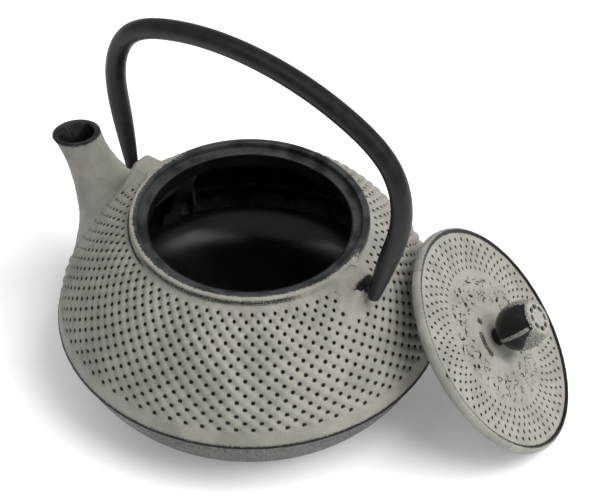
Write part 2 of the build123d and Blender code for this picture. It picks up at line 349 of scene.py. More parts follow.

# %% [markdown]
# ## The body
# The outline carries its numbers round with it: the row counts rings of studs, the bare-iron
# number is 1 where the lip was left unpainted, worn is high where hands and lid have rubbed the paint
# off. Then the join to spout and lugs is pushed out, and last come the studs: a wave
# round the pot times a wave down it, which sets each ring half a stud off the next.

# %% Spin the body
row_of = (fall - FIRST_RING) / STUD_ROW
ring_fade = eased(row_of, -0.9, 0.2) * (1 - eased(row_of, STUD_RINGS - 0.1, STUD_RINGS + 0.9))
numbers = {
    "row": row_of,
    "studded": ring_fade,
    "bare_iron_and_shade": np.where(travelled < lip_start - 0.1, 1.0, 1 - eased(fall, -1.7, -0.1)),
    "worn": 0.55 * np.exp(-((fall - seam_fall) / 0.9) ** 2 / 2) + 0.5 * np.exp(-(np.abs(fall - seam_fall) / 0.35)),
}
body = spun(pot_outline, POT_STUDS * COLUMNS_PER_STUD, numbers)
spots = places_of(body)
body_fall = read(body, "row") * STUD_ROW + FIRST_RING
near = (spots[:, 0] ** 2 + spots[:, 1] ** 2 > LIP_R**2) & (spots[:, 2] > SEAM_Z - 2)
to_spout = np.full(len(spots), 99.0)
to_lug = np.full(len(spots), 99.0)
to_spout[near] = spout_distance(spots[near])
to_lug[near] = lug_distance(spots[near])
joining = near & ((to_spout < SPOUT_FILLET) | (to_lug < LUG_FILLET))
normals = np.array([v.normal for v in body.verts])
lift = np.zeros(len(spots))
lift[joining] = reach_skin(spots[joining], normals[joining], -0.05, 6.0)
move_out(body, lift)
print(int(joining.sum()), "vertices flow into the spout and lugs")

# %% Raise the studs
NUB = 0.46  # height of a stud over the shoulder
PIT = 0.65  # depth of the pit between studs


def sector(angle, low, high, soft):
    """1 between two azimuths in degrees, fading out over soft degrees."""
    return eased(angle, low - soft, low + soft) * (1 - eased(angle, high - soft, high + soft))


azimuth = np.degrees(np.arctan2(spots[:, 1], spots[:, 0]))
clear = eased(to_spout, 1.5, 11.0) * eased(to_lug, 0.3, 3.2)
clear *= 1 - sector(azimuth, -9.0, 10.0, 3.0) * (1 - eased(body_fall, 16.0, 21.0)) * (body_fall > 0)
wave = -np.cos(np.radians(azimuth) * POT_STUDS) * np.cos(pi * read(body, "row"))
studded = read(body, "studded") * clear
relief = studded * (NUB * (2 * eased(wave, -0.55, 1.0) - 0.8) - PIT * eased(-wave, 0.70, 1.0))
rough = np.array([noise.noise(Vector(p) * 0.35) for p in spots])
outer_skin = (body_fall > 0.5) & (spots[:, 2] > 1.0)
move_out(body, relief + np.where(outer_skin, 0.10 * rough, 0))
write(body, "studded", studded)
worn = read(body, "worn")
collar = eased(body_fall, 0.4, 1.3) * (1 - eased(body_fall, 2.4, 5.0))
worn += 0.58 * sector(azimuth, -114, -27, 8) * collar + 0.06 * collar
worn += 0.95 * sector(azimuth, -168, -110, 5) * np.exp(-((body_fall - 4.3) / 0.38) ** 2 / 2)
below = eased(SEAM_Z - spots[:, 2], 0.4, 1.2) * (1 - eased(SEAM_Z - spots[:, 2], 22, 27))
worn += below * (0.34 + 0.22 * sector(azimuth, -100, 20, 25))
worn += 0.07 * (body_fall > 5) * (spots[:, 2] > SEAM_Z)
write(body, "worn", worn)
on_lip = (body_fall > -3) * (1 - eased(body_fall, 1.2, 2.2))
write(body, "bare_iron_and_shade", np.maximum(read(body, "bare_iron_and_shade"), on_lip * sector(azimuth, 10, 165, 12)))
print("studs:", POT_STUDS * (STUD_RINGS + 1))

# %% [markdown]
# ## Opening the body for the spout
# The channel of the spout runs through the wall, so the skin inside the channel is
# taken out. The edge of that cut lies inside the iron, under the spout and the enamel.

# %% Cut the channel
skin = places_of(body)
margin = np.where(body_fall < -3, 4.5, 0.6)  # the hidden inner wall has coarse rows
in_channel = (skin[:, 0] < -40) & (spout_distance(skin, wall=1) < margin)
holed = [v for v, cut in zip(body.verts, in_channel) if cut]
bmesh.ops.delete(body, geom=holed, context="VERTS")
print(len(holed), "vertices cut from the channel")

# %% [markdown]
# ## The spout
# A sweep is a ring that is extruded again and again, each copy placed by a matrix. The
# tube is cut level with its lip by a plane, the open edge is drawn in over the lip and
# down into the bore, and the lower rings are melted into the body.

# %% Sweep rings along a line
def station(centre, heading, side, radius):
    """Matrix that puts a unit ring square to the line, with this radius."""
    ahead = Vector(heading).normalized()
    side = Vector(side).normalized()
    turned = Matrix((side, ahead.cross(side), ahead)).transposed().to_4x4()
    return Matrix.Translation(Vector(centre)) @ turned @ Matrix.Scale(radius, 4)


def swept(stations, segments):
    """A tube through the stations, open at both ends."""
    bm = bmesh.new()
    with_layers(bm)
    bmesh.ops.create_circle(bm, segments=segments, radius=1, matrix=stations[0])
    edges = list(bm.edges)
    for before, after in zip(stations, stations[1:]):
        edges = drawn_on(bm, edges, after @ before.inverted())
    return bm


def drawn_on(bm, edges, matrix):
    """Extrudes an edge loop and moves the copy by a matrix."""
    grown = bmesh.ops.extrude_edge_only(bm, edges=edges)["geom"]
    ring = [g for g in grown if isinstance(g, bmesh.types.BMVert)]
    bmesh.ops.transform(bm, matrix=matrix, verts=ring)
    fresh = set(ring)
    return [g for g in grown if isinstance(g, bmesh.types.BMEdge) and fresh.issuperset(g.verts)]


def scaled_about(centre, size):
    """Matrix that shrinks or grows a ring about a point."""
    return Matrix.Translation(centre) @ Matrix.Scale(size, 4) @ Matrix.Translation(-centre)


# %% Make the spout
SPOUT_SEGMENTS = 112
SPOUT_RINGS = 64
ring_shares = np.linspace(0.04, 1.1, SPOUT_RINGS)
spout = swept([station(spout_middle(s), spout_heading(s), (0, 1, 0), spout_radius(s))
               for s in ring_shares], SPOUT_SEGMENTS)
skin = places_of(spout)
middles = np.repeat([spout_middle(s) for s in ring_shares], SPOUT_SEGMENTS, axis=0)
ways = skin - middles
reach = np.linalg.norm(ways, axis=1)
ways /= reach[:, None]
lower = np.repeat(ring_shares, SPOUT_SEGMENTS) < 0.85
grown = reach.copy()
grown[lower] += reach_skin(skin[lower], ways[lower], -1.5, 9.0)
for vert, middle, way, far in zip(spout.verts, middles, ways, grown):
    vert.co = Vector(middle + way * far)
bmesh.ops.recalc_face_normals(spout, faces=spout.faces)
mouth = Vector(spout_middle(1.0))
mouth_up = Vector((-sin(SPOUT_LEAN), 0, cos(SPOUT_LEAN)))
bmesh.ops.bisect_plane(spout, geom=spout.verts[:] + spout.edges[:] + spout.faces[:],
                       plane_co=mouth - mouth_up * 0.6, plane_no=mouth_up, clear_outer=True)
sunk = [v for v, deep in zip(spout.verts, body_distance(places_of(spout))) if deep < -2.4]
bmesh.ops.delete(spout, geom=sunk, context="VERTS")
loop = [e for e in spout.edges if e.is_boundary and (e.verts[0].co - mouth).dot(mouth_up) > -1.2]
centre = sum((e.verts[0].co for e in loop), Vector()) / len(loop)
for size, rise in ((0.985, 0.35), (0.95, 0.55), (0.90, 0.6), (0.858, 0.45), (0.84, 0.1), (0.835, -0.5)):
    here = (loop[0].verts[0].co - centre).length / spout_radius(1.0)
    level = (loop[0].verts[0].co - (mouth - mouth_up * 0.6)).dot(mouth_up)
    loop = drawn_on(spout, loop, Matrix.Translation(mouth_up * (rise - level)) @ scaled_about(centre, size / here))
drawn_on(spout, loop, Matrix.Translation(Vector(spout_heading(0.95)).normalized() * -7))
print(len(spout.verts), "vertices in the spout")

# %% Its finish
skin = places_of(spout)
height = np.array([(Vector(p) - mouth).dot(mouth_up) for p in skin])
write(spout, "bare_iron_and_shade", eased(height, -0.95, -0.65))
write(spout, "worn", 0.32 * eased(height, -2.6, -0.6) + 0.08)
grainy = np.array([noise.noise(Vector(p) * 0.4) for p in skin])
move_out(spout, np.where(height < -1.5, 0.12 * grainy, 0))

# %% [markdown]
# ## The lugs
# Each lug is a slab with sloping sides. A cube is stretched, its top is narrowed, its
# edges are rounded by a bevel and it is divided so that it can carry the grain.

# %% Make a lug
def lug(side):
    """One lug, on the +X side for 1 and the -X side for -1."""
    bm = bmesh.new()
    with_layers(bm)
    bmesh.ops.create_cube(bm, size=1)
    middle = ((LUG_OUT + LUG_IN) / 2 * side, 0, (LUG_TOP + LUG_ROOT) / 2 - 1)
    bmesh.ops.scale(bm, vec=(LUG_OUT - LUG_IN, 2 * LUG_ROOT_HALF, LUG_TOP - LUG_ROOT + 2), verts=bm.verts)
    upper = [v for v in bm.verts if v.co.z > 0]
    bmesh.ops.scale(bm, vec=(1, LUG_TOP_HALF / LUG_ROOT_HALF, 1), verts=upper)
    bmesh.ops.translate(bm, vec=middle, verts=bm.verts)
    round_off = [e for e in bm.edges if max(v.co.z for v in e.verts) > LUG_ROOT]
    bmesh.ops.bevel(bm, geom=round_off, offset=2.6, offset_type="OFFSET", segments=6,
                    profile=0.5, affect="EDGES", material=-1)
    bmesh.ops.triangulate(bm, faces=bm.faces)
    for _ in range(3):
        long = [e for e in bm.edges if e.calc_length() > 1.2]
        bmesh.ops.subdivide_edges(bm, edges=long, cuts=1, use_grid_fill=True)
        bmesh.ops.triangulate(bm, faces=bm.faces)
    bmesh.ops.recalc_face_normals(bm, faces=bm.faces)
    skin = places_of(bm)
    edges = eased(np.abs(skin[:, 0]), LUG_OUT - 2.2, LUG_OUT - 0.3)
    low = 1 - eased(skin[:, 2], LUG_TOP - 6, LUG_TOP - 1)
    rubbed = edges * (0.3 + 0.7 * low) if side < 0 else eased(np.abs(skin[:, 0]), LUG_OUT - 3.4, LUG_OUT - 1.0)
    write(bm, "worn", (0.16 + 0.74 * rubbed) * np.ones(len(skin)))
    move_out(bm, [0.10 * noise.noise(Vector(p) * 0.6) for p in skin])
    return bm


def added(bm, extra):
    """Joins another bmesh to this one."""
    carrier = bpy.data.meshes.new("carrier")
    extra.to_mesh(carrier)
    extra.free()
    bm.from_mesh(carrier)
    bpy.data.meshes.remove(carrier)


added(body, spout)
for side in (1, -1):
    added(body, lug(side))
remember_place(body)
pot_casting = piece(body, "pot_casting", "pot", "pot")

# %% [markdown]
# ## The enamel inside
# The inside is glazed black, and the glaze runs up the spout. The room inside the pot
# and the bore of the spout are made as solids, united by a Boolean, opened at both
# mouths by planes, and turned to face inwards. A Solidify modifier gives the coat its
# thickness, away from the room and into the iron.

# %% Make the enamel coat
COAT = 0.4
COAT_COLUMNS = 192
BORE_SEGMENTS = 64
wall = curve_through(room_wall, 1.5)
run = np.gradient(wall, axis=0)
run /= np.linalg.norm(run, axis=1)[:, None]
drawn_in = wall + np.stack([run[:, 1], -run[:, 0]], axis=1) * COAT
room_outline = joined(
    straight_run([(0, RIM_Z), (MOUTH_R - COAT, RIM_Z), drawn_in[0]], 3),
    drawn_in,
    straight_run([drawn_in[-1], (0, FLOOR_Z + COAT)], 5),
)
room = spun(room_outline, COAT_COLUMNS)
bore = swept([station(spout_middle(s), spout_heading(s), (0, 1, 0), spout_radius(s, 1) - COAT)
              for s in np.linspace(-0.02, 1.1, 30)], BORE_SEGMENTS)
bmesh.ops.holes_fill(bore, edges=bore.edges)
bmesh.ops.recalc_face_normals(bore, faces=bore.faces)


def loose_object(bm, name):
    """A plain object, for a Boolean to work with."""
    mesh = bpy.data.meshes.new(name)
    bm.to_mesh(mesh)
    bm.free()
    made = bpy.data.objects.new(name, mesh)
    bpy.context.scene.collection.objects.link(made)
    return made


def boolean(first, second, operation):
    """A bmesh of two objects united or cut; both objects are used up."""
    joint = first.modifiers.new(operation, "BOOLEAN")
    joint.operation = operation
    joint.solver = "EXACT"
    joint.object = second
    graph = bpy.context.evaluated_depsgraph_get()
    mesh = bpy.data.meshes.new_from_object(first.evaluated_get(graph))
    bm = bmesh.new()
    bm.from_mesh(mesh)
    bpy.data.meshes.remove(mesh)
    for used in (first, second):
        bpy.data.objects.remove(used)
    return bm


coat = boolean(loose_object(room, "room"), loose_object(bore, "bore"), "UNION")
bmesh.ops.reverse_faces(coat, faces=coat.faces)
for level, up in ((mouth - mouth_up * 0.45, mouth_up), (Vector((0, 0, LEDGE_Z - 0.05)), Vector((0, 0, 1)))):
    bmesh.ops.bisect_plane(coat, geom=coat.verts[:] + coat.edges[:] + coat.faces[:],
                           plane_co=level, plane_no=up, clear_outer=True)
remember_place(coat)
enamel_coat = piece(coat, "enamel_coat", "pot", "enamel_lining", crease=30)
skin_deep = enamel_coat.modifiers.new("thickness", "SOLIDIFY")
skin_deep.thickness = 0.3 * MM
skin_deep.offset = -1

# %% [markdown]
# ## The lid
# The lid is drawn in its own frame, flat, with its knob upwards, and turned into place at
# the end. Rings of small pits cover the outer face. Towards the knob the sand mould
# left short wrinkles, and a smooth raised ring stands round the knob.

# %% Lid outline
LID_TILT = radians(41.4)
LID_TURN = radians(28.0)
LID_AT = Vector((92.8, 40.8, 38.4))
LID_R = 48.0
LID_STUDS = 60
LID_RING = 30.5
LID_ROW = 3.05
LID_RINGS = 4
lid_up = Vector((cos(LID_TILT) * cos(LID_TURN), cos(LID_TILT) * sin(LID_TURN), sin(LID_TILT)))
lid_side = Vector((-sin(LID_TURN), cos(LID_TURN), 0))
lid_frame = Matrix((lid_side, lid_up.cross(lid_side), lid_up)).transposed().to_4x4()
lid_frame = Matrix.Translation(LID_AT) @ lid_frame
PIN_BORE = 2.05
lid_outline = joined(
    straight_run([(PIN_BORE, 0), (7.4, 0)], 0.9),
    curve_through([(7.4, 0), (8.4, 0.05), (9.8, 0.5), (11.2, 0.7), (12.6, 0.5), (14.2, -0.35),
                   (15.5, -0.7)], 0.4),
    straight_run([(15.5, -0.7), (27.45, -0.7)], 0.6),
    straight_run([(27.45, -0.7), (45.75, -0.7)], LID_ROW / 4),
    straight_run([(45.75, -0.7), (46.1, -0.35), (46.4, -0.1)], 0.3),
    curve_through([(46.4, -0.1), (46.95, -0.02), (47.5, -0.5), (48.0, -1.9)], 0.4),
    straight_run([(LID_R, -1.9), (LID_R, -3.4), (47.0, -4.6), (44.0, -4.6), (44.0, -5.9),
                  (39.8, -5.9), (39.8, -8.6), (36.8, -8.6), (35.8, -4.2)], 1.2),
    straight_run([(35.8, -4.2), (PIN_BORE, -4.2)], 4),
    straight_run([(PIN_BORE, -4.2), (PIN_BORE, 0)], 3),
)
lid_r = lid_outline[:, 0]
print(len(lid_outline), "rows in the lid")

# %% Spin the lid and press its pattern
on_face = np.cumsum(lid_r[:, None] * 0 + 1) <= np.argmax(lid_r) + 1
lid_row = (lid_r - LID_RING) / LID_ROW
lid_numbers = {
    "row": lid_row,
    "studded": np.where(on_face, eased(lid_row, -0.55, -0.3) * (1 - eased(lid_row, LID_RINGS + 0.3, LID_RINGS + 0.6)), 0),
    "marked": np.where(on_face, eased(lid_r, 13.5, 17.0) * (1 - eased(lid_r, 25.5, 28.6)), 0),
    "worn": np.where(on_face, 1.0 * np.exp(-((lid_r - 46.1) / 0.50) ** 2 / 2) + 0.10 * eased(lid_r, 46.3, 46.8), 0.3),
}
lid = spun(lid_outline, LID_STUDS * COLUMNS_PER_STUD, lid_numbers)
spots = places_of(lid)
angle = np.degrees(np.arctan2(spots[:, 1], spots[:, 0])) % 360
reach = np.hypot(spots[:, 0], spots[:, 1])
wave = -np.cos(np.radians(angle) * LID_STUDS) * np.cos(pi * read(lid, "row"))
relief = read(lid, "studded") * (0.10 * wave - 0.42 * eased(-wave, 0.6, 1.0))
marked = read(lid, "marked")
wrinkle = np.array([abs(noise.noise(Vector(p) * 0.48)) + 0.5 * abs(noise.noise(Vector(p) * 1.1 + Vector((9, 4, 2)))) for p in spots])
relief += marked * (0.75 * wrinkle - 0.30)
relief += np.array([0.06 * noise.noise(Vector(p) * 0.3) for p in spots])
move_out(lid, relief)
crest = eased(reach, 9.3, 9.9) * (1 - eased(reach, 12.3, 13.1)) * (spots[:, 2] > -0.6)
worn = read(lid, "worn") + crest * (0.52 * sector(angle, 122, 178, 4) + 0.55 * sector(angle, 90, 104, 4) + 0.10)
worn += 0.12 * (reach > 46.2) * (spots[:, 2] > -2.2) * sector(angle, 40, 120, 20)
worn += 0.9 * np.exp(-((reach - 46.6) / 0.9) ** 2 - ((angle - 152) * 0.8 / 1.1) ** 2) * (spots[:, 2] > -2.5)
write(lid, "worn", worn)
remember_place(lid)
lid_casting = piece(lid, "lid_casting", "lid", "lid", lid_frame)

# %% [markdown]
# ## The knob
# The knob is a bud with eight slots in its top and one fine raised rib where the
# two halves of its mould met. The real knob is hollow; this one is made solid. It was dipped in black and only half
# painted over.

# %% Make the knob
KNOB_BASE = 0.3
KNOB_TOP = 20.9
SLOTS = 8
SLOT_RING = 4.6
RIB_AT = 161.0
KNOB_COLUMNS = 192
knob_outline = joined(
    straight_run([(0, KNOB_BASE), (3.6, KNOB_BASE), (3.6, 2.5)], 0.8),
    curve_through([(3.6, 2.5), (7.5, 5.5), (9.8, 11.8), (8.4, 19.4), (7.6, KNOB_TOP - 0.25),
                   (7.0, KNOB_TOP)], 0.5),
    straight_run([(7.0, KNOB_TOP), (0, KNOB_TOP + 0.25)], 0.7),
)
knob = spun(knob_outline, KNOB_COLUMNS)
spots = places_of(knob)
angle = np.degrees(np.arctan2(spots[:, 1], spots[:, 0])) % 360
high = spots[:, 2]
flank = eased(np.hypot(spots[:, 0], spots[:, 1]), 6.0, 7.6)
rib = flank * np.exp(-((angle - RIB_AT) / 5.0) ** 4) * eased(high, 4.2, 6.0) * (1 - eased(high, 18.6, 20.2))
painted = eased(high, KNOB_TOP - 0.9, KNOB_TOP - 0.2)
paint_from = 170 + 4.5 * np.maximum(19 - high, 0)
painted = np.maximum(painted, eased(angle - paint_from, -5, 5) * (angle < 300) * eased(high, 5.0, 8.0))
painted = np.maximum(painted, 0.8 * sector(angle, 18, 84, 12) * eased(high, 5.0, 9.0))
painted = np.maximum(painted, 1 - eased(high, 2.3, 3.2))
painted = np.maximum(painted, eased(rib, 0.25, 0.6))
bumpy = np.array([noise.noise(Vector(p) * 0.5) for p in spots])
move_out(knob, 0.45 * rib + 0.12 * bumpy * flank)
write(knob, "bare_iron_and_shade", 1 - painted)
write(knob, "worn", 0.2 + 0.25 * flank)
cutters = bmesh.new()
with_layers(cutters)
for slot in range(SLOTS):
    turn = Matrix.Rotation(2 * pi * slot / SLOTS, 4, "Z") @ Matrix.Translation((SLOT_RING, 0, KNOB_TOP))
    bar = bmesh.ops.create_cube(cutters, size=1, matrix=turn @ Matrix.Diagonal((1.9, 3.0, 3.4, 1)))["verts"]
    ends = {e for v in bar for e in v.link_edges if abs(e.verts[0].co.z - e.verts[1].co.z) > 1}
    bmesh.ops.bevel(cutters, geom=list(ends), offset=0.85, offset_type="OFFSET", segments=4,
                    profile=0.5, affect="EDGES", material=-1)
bmesh.ops.recalc_face_normals(cutters, faces=cutters.faces)
knob = boolean(loose_object(knob, "knob_solid"), loose_object(cutters, "slots"), "DIFFERENCE")
remember_place(knob)
spots = places_of(knob)
# Inside the slots, and on the neck under the bud, the knob is set to black iron. In the slots this black is also
# painted shade: the black slot floors stand in for the dark hollow that the real slots open into.
write(knob, "bare_iron_and_shade", np.maximum(read(knob, "bare_iron_and_shade"), (spots[:, 2] < KNOB_TOP - 0.35) * (np.hypot(spots[:, 0], spots[:, 1]) < 6.6)))
knob_bud = piece(knob, "knob_bud", "knob", "knob", lid_frame, crease=35)

# %% [markdown]
# ## The bail
# The bail is a round bar bent to shape, with tapered blunt ends that hold the pins. It is
# a sweep of rings along the bar's centre line, which lies in a plane that leans back.

# %% Make the bail
PIVOT_X, PIVOT_Z = 61.7, 74.5
BAIL_LEAN = radians(3.7)
BAIL_R, BAIL_TIP_R = 4.15, 2.5
BAIL_TAPER = 0.12
bail_half = [(PIVOT_X - 0.5, -2.6), (66.8, 20.0), (70.6, 42.0), (64.6, 60.3), (44.0, 73.0)]
bail_flat = curve_through(bail_half + [(0, 80.1)] + [(-x, y) for x, y in bail_half[::-1]], 1.6)
lean_up = Vector((0, sin(BAIL_LEAN), cos(BAIL_LEAN)))
lean_out = Vector((0, cos(BAIL_LEAN), -sin(BAIL_LEAN)))
bail_line = [Vector((x, 0, PIVOT_Z)) + lean_up * y for x, y in bail_flat]
share = np.linspace(0, 1, len(bail_line))
taper = np.clip(np.minimum(share, 1 - share) / BAIL_TAPER, 0, 1)
bail_radius = BAIL_TIP_R + (BAIL_R - BAIL_TIP_R) * np.sin(taper * pi / 2)
headings = [bail_line[1] - bail_line[0]]
headings += [b - a for a, b in zip(bail_line, bail_line[2:])]
headings += [bail_line[-1] - bail_line[-2]]
bail_stations = [station(c, h, lean_out, r) for c, h, r in zip(bail_line, headings, bail_radius)]
blunt = [(0.25, 0.98), (0.05, 0.86), (0.0, 0.6)]
first, last = headings[0].normalized(), headings[-1].normalized()
start_cap = [station(bail_line[0] + first * (1.4 * d), first, lean_out, BAIL_TIP_R * s) for d, s in blunt[::-1]]
end_cap = [station(bail_line[-1] - last * (1.4 * d), last, lean_out, BAIL_TIP_R * s) for d, s in blunt]
bail = swept(start_cap + bail_stations[1:-1] + end_cap, 48)
bmesh.ops.holes_fill(bail, edges=bail.edges)
bmesh.ops.recalc_face_normals(bail, faces=bail.faces)
spots = places_of(bail)
write(bail, "worn", 0.1 + 0.25 * (1 - eased(spots[:, 2], PIVOT_Z + 2, PIVOT_Z + 14)))
remember_place(bail)
bail_bar = piece(bail, "bail_bar", "handle", "handle", crease=50)

# %% [markdown]
# ## Finishes
# Three effects are shared, so each is a node group with its own inputs and outputs:
# the grain that sand leaves on iron, flakes where paint has chipped or worn away, and
# the dark pits between the studs. They give masks, heights and tones that change over
# the surface, and each material decides what to do with them.

# %% Small helpers for nodes
def group(name, inputs, outputs):
    """An empty node group with named sockets, and its two ends."""
    tree = bpy.data.node_groups.new(name, "ShaderNodeTree")
    for label, kind, value in inputs:
        socket = tree.interface.new_socket(label, in_out="INPUT", socket_type="NodeSocket" + kind)
        if value is not None:
            socket.default_value = value
    for label, kind in outputs:
        tree.interface.new_socket(label, in_out="OUTPUT", socket_type="NodeSocket" + kind)
    return tree, tree.nodes.new("NodeGroupInput").outputs, tree.nodes.new("NodeGroupOutput").inputs


def feed(tree, socket, value):
    """Links a socket to another, or sets its value."""
    if isinstance(value, bpy.types.NodeSocket):
        tree.links.new(value, socket)
    else:
        socket.default_value = value


def calc(tree, operation, *values):
    """A Math node; its result."""
    made = tree.nodes.new("ShaderNodeMath")
    made.operation = operation
    for socket, value in zip(made.inputs, values):
        feed(tree, socket, value)
    return made.outputs[0]


def ramp(tree, value, low, high, to_low=0.0, to_high=1.0):
    """A smooth step from one level to another."""
    made = tree.nodes.new("ShaderNodeMapRange")
    made.interpolation_type = "SMOOTHSTEP"
    for label, given in (("Value", value), ("From Min", low), ("From Max", high),
                         ("To Min", to_low), ("To Max", to_high)):
        feed(tree, made.inputs[label], given)
    return made.outputs["Result"]


def noisy(tree, place, scale, detail=2.0, rough=0.5, distortion=0.0):
    """Noise between 0 and 1, with this many lumps to the millimetre."""
    made = tree.nodes.new("ShaderNodeTexNoise")
    tree.links.new(place, made.inputs["Vector"])
    for label, given in (("Scale", scale), ("Detail", detail), ("Roughness", rough), ("Distortion", distortion)):
        made.inputs[label].default_value = given
    return made.outputs[0]


def mixed(tree, share, first, second):
    """A colour between two."""
    made = tree.nodes.new("ShaderNodeMix")
    made.data_type = "RGBA"
    feed(tree, made.inputs["Factor"], share)
    feed(tree, made.inputs[6], first)
    feed(tree, made.inputs[7], second)
    return made.outputs[2]


def use(tree, shared, **values):
    """Places a group in a material with its own values; its outputs."""
    made = tree.nodes.new("ShaderNodeGroup")
    made.node_tree = shared
    for label, value in values.items():
        feed(tree, made.inputs[label], value)
    return made.outputs


# %% Cast grain, flakes, pits and wrinkles
cast_grain, given, result = group(
    "Cast grain", [("Place", "Vector", None), ("Fine", "Float", 0.5)],
    [("Height", "Float"), ("Tone", "Float")])
sand = noisy(cast_grain, given["Place"], 2.6, detail=2.5, rough=0.6)
lumps = noisy(cast_grain, given["Place"], 0.55, detail=2.0)
clouds = noisy(cast_grain, given["Place"], 0.07, detail=3.0, rough=0.6)
height = calc(cast_grain, "MULTIPLY_ADD", sand, given["Fine"], calc(cast_grain, "MULTIPLY", lumps, 0.35))
cast_grain.links.new(height, result["Height"])
tone = calc(cast_grain, "MULTIPLY_ADD", ramp(cast_grain, clouds, 0.35, 0.65), 0.6,
            calc(cast_grain, "MULTIPLY", ramp(cast_grain, sand, 0.35, 0.65), 0.4))
cast_grain.links.new(tone, result["Tone"])

flakes, given, result = group(
    "Paint flakes", [("Place", "Vector", None), ("Amount", "Float", 0.0), ("Size", "Float", 1.0)],
    [("Mask", "Float")])
scaled = flakes.nodes.new("ShaderNodeVectorMath")
scaled.operation = "SCALE"
flakes.links.new(given["Place"], scaled.inputs[0])
flakes.links.new(given["Size"], scaled.inputs["Scale"])
patchy = noisy(flakes, scaled.outputs[0], 1.15, detail=4.0, rough=0.62)
spread = calc(flakes, "MINIMUM", calc(flakes, "MULTIPLY_ADD", patchy, 2.2, -0.6), 0.97)
sprinkled = calc(flakes, "ADD", given["Amount"], spread)
flakes.links.new(ramp(flakes, sprinkled, 0.97, 1.07), result["Mask"])

pits, given, result = group(
    "Stud pits", [("Place", "Vector", None), ("Row", "Float", 0.0), ("Count", "Float", 60.0), ("Narrow", "Float", 0.8)],
    [("Mask", "Float"), ("Swell", "Float")])
apart = pits.nodes.new("ShaderNodeSeparateXYZ")
pits.links.new(given["Place"], apart.inputs[0])
around = calc(pits, "COSINE", calc(pits, "MULTIPLY", calc(pits, "ARCTAN2", apart.outputs["Y"], apart.outputs["X"]), given["Count"]))
down = calc(pits, "COSINE", calc(pits, "MULTIPLY", given["Row"], pi))
lattice = calc(pits, "MULTIPLY", around, down)
ragged = calc(pits, "MULTIPLY_ADD", noisy(pits, given["Place"], 0.9, detail=2.0), 0.22, calc(pits, "SUBTRACT", lattice, 0.11))
pits.links.new(ramp(pits, ragged, given["Narrow"], calc(pits, "ADD", given["Narrow"], 0.09)), result["Mask"])
pits.links.new(ramp(pits, lattice, -1.0, 1.0, 1.0, 0.0), result["Swell"])

wrinkles, given, result = group("Mould wrinkles", [("Place", "Vector", None)], [("Mask", "Float")])
folds = noisy(wrinkles, given["Place"], 0.36, detail=0.0, rough=0.4, distortion=0.6)
crease_line = calc(wrinkles, "ABSOLUTE", calc(wrinkles, "SUBTRACT", folds, 0.5))
breaks = noisy(wrinkles, given["Place"], 0.42, detail=0.0)
thin = ramp(wrinkles, breaks, 0.44, 0.60, -0.02, 0.045)
wrinkles.links.new(ramp(wrinkles, calc(wrinkles, "SUBTRACT", thin, crease_line), -0.012, 0.012), result["Mask"])
print("groups:", [g.name for g in bpy.data.node_groups])

# %% [markdown]
# ## Painted iron
# A thin warm grey paint covers black iron. It is missing in the pits, along the worn
# edges and where the lip was left bare. One function makes it for the pot, the lid and
# the knob, each with its own count of studs.

# %% Painted iron
PAINT_LIGHT = (0.300, 0.286, 0.250, 1)
PAINT_SHADE = (0.195, 0.187, 0.163, 1)
IRON_BLACK = (0.004, 0.004, 0.004, 1)
BARE_IRON = (0.040, 0.041, 0.042, 1)


def material(name):
    """An empty material; its tree and its Principled shader."""
    made = bpy.data.materials.new(name)
    made.use_nodes = True
    return made, made.node_tree, made.node_tree.nodes["Principled BSDF"]


def number(tree, name, vector=False):
    """A surface number or place that the mesh carries."""
    made = tree.nodes.new("ShaderNodeAttribute")
    made.attribute_name = name
    return made.outputs["Vector" if vector else "Fac"]


def bumped(tree, shader, height, strength=1.0):
    """Gives the shader a bump whose height is in millimetres."""
    made = tree.nodes.new("ShaderNodeBump")
    made.inputs["Strength"].default_value = strength
    made.inputs["Distance"].default_value = MM
    tree.links.new(height, made.inputs["Height"])
    tree.links.new(made.outputs[0], shader.inputs["Normal"])


def painted_iron(name, studs, narrow, bare_colour, bare_rough, paint_rough=0.62):
    """Warm grey paint over black iron, with pits, wrinkles and worn edges."""
    made, tree, shader = material(name)
    place = number(tree, "place", vector=True)
    grain = use(tree, cast_grain, Place=place, Fine=0.45)
    pit = use(tree, pits, Place=place, Row=number(tree, "row"), Count=float(studs), Narrow=narrow)
    pit_mask = calc(tree, "MULTIPLY", pit["Mask"], ramp(tree, number(tree, "studded"), 0.15, 0.6))
    fold = calc(tree, "MULTIPLY", use(tree, wrinkles, Place=place)["Mask"], ramp(tree, number(tree, "marked"), 0.2, 0.8))
    chipped = use(tree, flakes, Place=place, Amount=number(tree, "worn"), Size=2.2)["Mask"]
    bare_iron_and_shade = use(tree, flakes, Place=place, Amount=number(tree, "bare_iron_and_shade"), Size=1.1)["Mask"]
    dark = calc(tree, "MAXIMUM", calc(tree, "MAXIMUM", pit_mask, fold), chipped)
    colour = mixed(tree, grain["Tone"], PAINT_LIGHT, PAINT_SHADE)
    colour = mixed(tree, bare_iron_and_shade, colour, mixed(tree, ramp(tree, grain["Tone"], 0.3, 0.9), bare_colour, IRON_BLACK))
    colour = mixed(tree, dark, colour, IRON_BLACK)
    tree.links.new(colour, shader.inputs["Base Color"])
    gloss = calc(tree, "MULTIPLY_ADD", bare_iron_and_shade, bare_rough - paint_rough, paint_rough)
    tree.links.new(calc(tree, "MULTIPLY_ADD", dark, -0.15, gloss), shader.inputs["Roughness"])
    cover = calc(tree, "MULTIPLY", calc(tree, "MAXIMUM", chipped, bare_iron_and_shade), -0.10)
    sunk = calc(tree, "MULTIPLY_ADD", calc(tree, "MAXIMUM", pit_mask, fold), -0.30, cover)
    bumped(tree, shader, calc(tree, "MULTIPLY_ADD", grain["Height"], 0.40, sunk), 1.0)
    shader.inputs["Specular IOR Level"].default_value = 0.3
    return made


